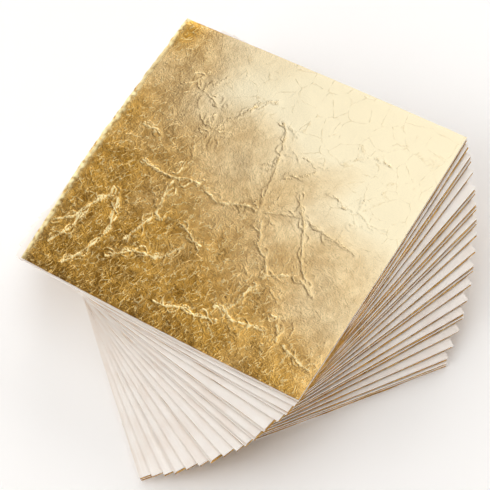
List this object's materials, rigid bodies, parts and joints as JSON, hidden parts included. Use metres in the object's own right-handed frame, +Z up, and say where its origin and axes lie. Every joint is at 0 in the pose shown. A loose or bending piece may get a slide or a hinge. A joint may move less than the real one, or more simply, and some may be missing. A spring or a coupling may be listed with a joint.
{
  "type": "gold leaf booklet",
  "caption": "Loose stack of thin gold leaves and interleaving tissues, twisted into a spiral fan, with the top leaf lying bare and crinkled.",
  "frame": {"origin": "the point of the underside that the fan's axis passes through", "axes": "+Z up through the stack, away from the table; +X along the lowest sheet's short side; +Y along its long side, away from the viewer; the upper layers turn anticlockwise about +Z"},
  "size_m": [0.1158, 0.118, 0.0237],
  "materials": {
    "gold_leaf": "bright, crinkled leaf",
    "tissue": "matt uncoated tissue"
  },
  "bodies": {
    "lowest_sheets": {"tissue_23": "tissue", "gold_leaf_24": "gold_leaf", "tissue_24": "tissue", "gold_leaf_25": "gold_leaf", "tissue_25": "tissue"},
    "layer_01": {"tissue_01": "tissue", "gold_leaf_02": "gold_leaf"},
    "layer_02": {"tissue_02": "tissue", "gold_leaf_03": "gold_leaf"},
    "layer_03": {"tissue_03": "tissue", "gold_leaf_04": "gold_leaf"},
    "layer_04": {"tissue_04": "tissue", "gold_leaf_05": "gold_leaf"},
    "layer_05": {"tissue_05": "tissue", "gold_leaf_06": "gold_leaf"},
    "layer_06": {"tissue_06": "tissue", "gold_leaf_07": "gold_leaf"},
    "layer_07": {"tissue_07": "tissue", "gold_leaf_08": "gold_leaf"},
    "layer_08": {"tissue_08": "tissue", "gold_leaf_09": "gold_leaf"},
    "layer_09": {"tissue_09": "tissue", "gold_leaf_10": "gold_leaf"},
    "layer_10": {"tissue_10": "tissue", "gold_leaf_11": "gold_leaf"},
    "layer_11": {"tissue_11": "tissue", "gold_leaf_12": "gold_leaf"},
    "layer_12": {"tissue_12": "tissue", "gold_leaf_13": "gold_leaf"},
    "layer_13": {"tissue_13": "tissue", "gold_leaf_14": "gold_leaf"},
    "layer_14": {"tissue_14": "tissue", "gold_leaf_15": "gold_leaf"},
    "layer_15": {"tissue_15": "tissue", "gold_leaf_16": "gold_leaf"},
    "layer_16": {"tissue_16": "tissue", "gold_leaf_17": "gold_leaf"},
    "layer_17": {"tissue_17": "tissue", "gold_leaf_18": "gold_leaf"},
    "layer_18": {"tissue_18": "tissue", "gold_leaf_19": "gold_leaf"},
    "layer_19": {"tissue_19": "tissue", "gold_leaf_20": "gold_leaf"},
    "layer_20": {"tissue_20": "tissue", "gold_leaf_21": "gold_leaf"},
    "layer_21": {"tissue_21": "tissue", "gold_leaf_22": "gold_leaf"},
    "layer_22": {"tissue_22": "tissue", "gold_leaf_23": "gold_leaf"},
    "exposed_leaf": {"gold_leaf_01": "gold_leaf"}
  },
  "joints": [
    {"name": "fan_turn", "type": "hinge", "parent": "lowest_sheets", "child": "layer_01", "pos_m": [0, 0, 0], "axis": [0, 0, 1], "range_deg": [-39.6, 50.4]},
    {"name": "layer_02_turn", "type": "hinge", "parent": "lowest_sheets", "child": "layer_02", "pos_m": [0, 0, 0], "axis": [0, 0, 1], "range_deg": [-38.46, 48.95]},
    {"name": "layer_03_turn", "type": "hinge", "parent": "lowest_sheets", "child": "layer_03", "pos_m": [0, 0, 0], "axis": [0, 0, 1], "range_deg": [-36.68, 46.68]},
    {"name": "layer_04_turn", "type": "hinge", "parent": "lowest_sheets", "child": "layer_04", "pos_m": [0, 0, 0], "axis": [0, 0, 1], "range_deg": [-36.2, 46.08]},
    {"name": "layer_05_turn", "type": "hinge", "parent": "lowest_sheets", "child": "layer_05", "pos_m": [0, 0, 0], "axis": [0, 0, 1], "range_deg": [-34.11, 43.4]},
    {"name": "layer_06_turn", "type": "hinge", "parent": "lowest_sheets", "child": "layer_06", "pos_m": [0, 0, 0], "axis": [0, 0, 1], "range_deg": [-30.9, 39.32]},
    {"name": "layer_07_turn", "type": "hinge", "parent": "lowest_sheets", "child": "layer_07", "pos_m": [0, 0, 0], "axis": [0, 0, 1], "range_deg": [-30.46, 38.77]},
    {"name": "layer_08_turn", "type": "hinge", "parent": "lowest_sheets", "child": "layer_08", "pos_m": [0, 0, 0], "axis": [0, 0, 1], "range_deg": [-28.32, 36.05]},
    {"name": "layer_09_turn", "type": "hinge", "parent": "lowest_sheets", "child": "layer_09", "pos_m": [0, 0, 0], "axis": [0, 0, 1], "range_deg": [-27.85, 35.44]},
    {"name": "layer_10_turn", "type": "hinge", "parent": "lowest_sheets", "child": "layer_10", "pos_m": [0, 0, 0], "axis": [0, 0, 1], "range_deg": [-26.03, 33.12]},
    {"name": "layer_11_turn", "type": "hinge", "parent": "lowest_sheets", "child": "layer_11", "pos_m": [0, 0, 0], "axis": [0, 0, 1], "range_deg": [-25.51, 32.47]},
    {"name": "layer_12_turn", "type": "hinge", "parent": "lowest_sheets", "child": "layer_12", "pos_m": [0, 0, 0], "axis": [0, 0, 1], "range_deg": [-23.49, 29.9]},
    {"name": "layer_13_turn", "type": "hinge", "parent": "lowest_sheets", "child": "layer_13", "pos_m": [0, 0, 0], "axis": [0, 0, 1], "range_deg": [-20.4, 25.97]},
    {"name": "layer_14_turn", "type": "hinge", "parent": "lowest_sheets", "child": "layer_14", "pos_m": [0, 0, 0], "axis": [0, 0, 1], "range_deg": [-17.67, 22.49]},
    {"name": "layer_15_turn", "type": "hinge", "parent": "lowest_sheets", "child": "layer_15", "pos_m": [0, 0, 0], "axis": [0, 0, 1], "range_deg": [-17.2, 21.88]},
    {"name": "layer_16_turn", "type": "hinge", "parent": "lowest_sheets", "child": "layer_16", "pos_m": [0, 0, 0], "axis": [0, 0, 1], "range_deg": [-14.58, 18.56]},
    {"name": "layer_17_turn", "type": "hinge", "parent": "lowest_sheets", "child": "layer_17", "pos_m": [0, 0, 0], "axis": [0, 0, 1], "range_deg": [-11.53, 14.68]},
    {"name": "layer_18_turn", "type": "hinge", "parent": "lowest_sheets", "child": "layer_18", "pos_m": [0, 0, 0], "axis": [0, 0, 1], "range_deg": [-9.08, 11.55]},
    {"name": "layer_19_turn", "type": "hinge", "parent": "lowest_sheets", "child": "layer_19", "pos_m": [0, 0, 0], "axis": [0, 0, 1], "range_deg": [-8.56, 10.9]},
    {"name": "layer_20_turn", "type": "hinge", "parent": "lowest_sheets", "child": "layer_20", "pos_m": [0, 0, 0], "axis": [0, 0, 1], "range_deg": [-6.11, 7.77]},
    {"name": "layer_21_turn", "type": "hinge", "parent": "lowest_sheets", "child": "layer_21", "pos_m": [0, 0, 0], "axis": [0, 0, 1], "range_deg": [-3.14, 3.99]},
    {"name": "layer_22_turn", "type": "hinge", "parent": "lowest_sheets", "child": "layer_22", "pos_m": [0, 0, 0], "axis": [0, 0, 1], "range_deg": [-0.68, 0.87]},
    {"name": "leaf_lift", "type": "slide", "parent": "layer_01", "child": "exposed_leaf", "axis": [0, 0, 1], "range_m": [0, 0.04]}
  ],
  "couplings": [
    {"joint": "layer_02_turn", "follows": "fan_turn", "ratio": 0.971},
    {"joint": "layer_03_turn", "follows": "fan_turn", "ratio": 0.926},
    {"joint": "layer_04_turn", "follows": "fan_turn", "ratio": 0.914},
    {"joint": "layer_05_turn", "follows": "fan_turn", "ratio": 0.861},
    {"joint": "layer_06_turn", "follows": "fan_turn", "ratio": 0.78},
    {"joint": "layer_07_turn", "follows": "fan_turn", "ratio": 0.769},
    {"joint": "layer_08_turn", "follows": "fan_turn", "ratio": 0.715},
    {"joint": "layer_09_turn", "follows": "fan_turn", "ratio": 0.703},
    {"joint": "layer_10_turn", "follows": "fan_turn", "ratio": 0.657},
    {"joint": "layer_11_turn", "follows": "fan_turn", "ratio": 0.644},
    {"joint": "layer_12_turn", "follows": "fan_turn", "ratio": 0.593},
    {"joint": "layer_13_turn", "follows": "fan_turn", "ratio": 0.515},
    {"joint": "layer_14_turn", "follows": "fan_turn", "ratio": 0.446},
    {"joint": "layer_15_turn", "follows": "fan_turn", "ratio": 0.434},
    {"joint": "layer_16_turn", "follows": "fan_turn", "ratio": 0.368},
    {"joint": "layer_17_turn", "follows": "fan_turn", "ratio": 0.291},
    {"joint": "layer_18_turn", "follows": "fan_turn", "ratio": 0.229},
    {"joint": "layer_19_turn", "follows": "fan_turn", "ratio": 0.216},
    {"joint": "layer_20_turn", "follows": "fan_turn", "ratio": 0.154},
    {"joint": "layer_21_turn", "follows": "fan_turn", "ratio": 0.079},
    {"joint": "layer_22_turn", "follows": "fan_turn", "ratio": 0.017}
  ]
}
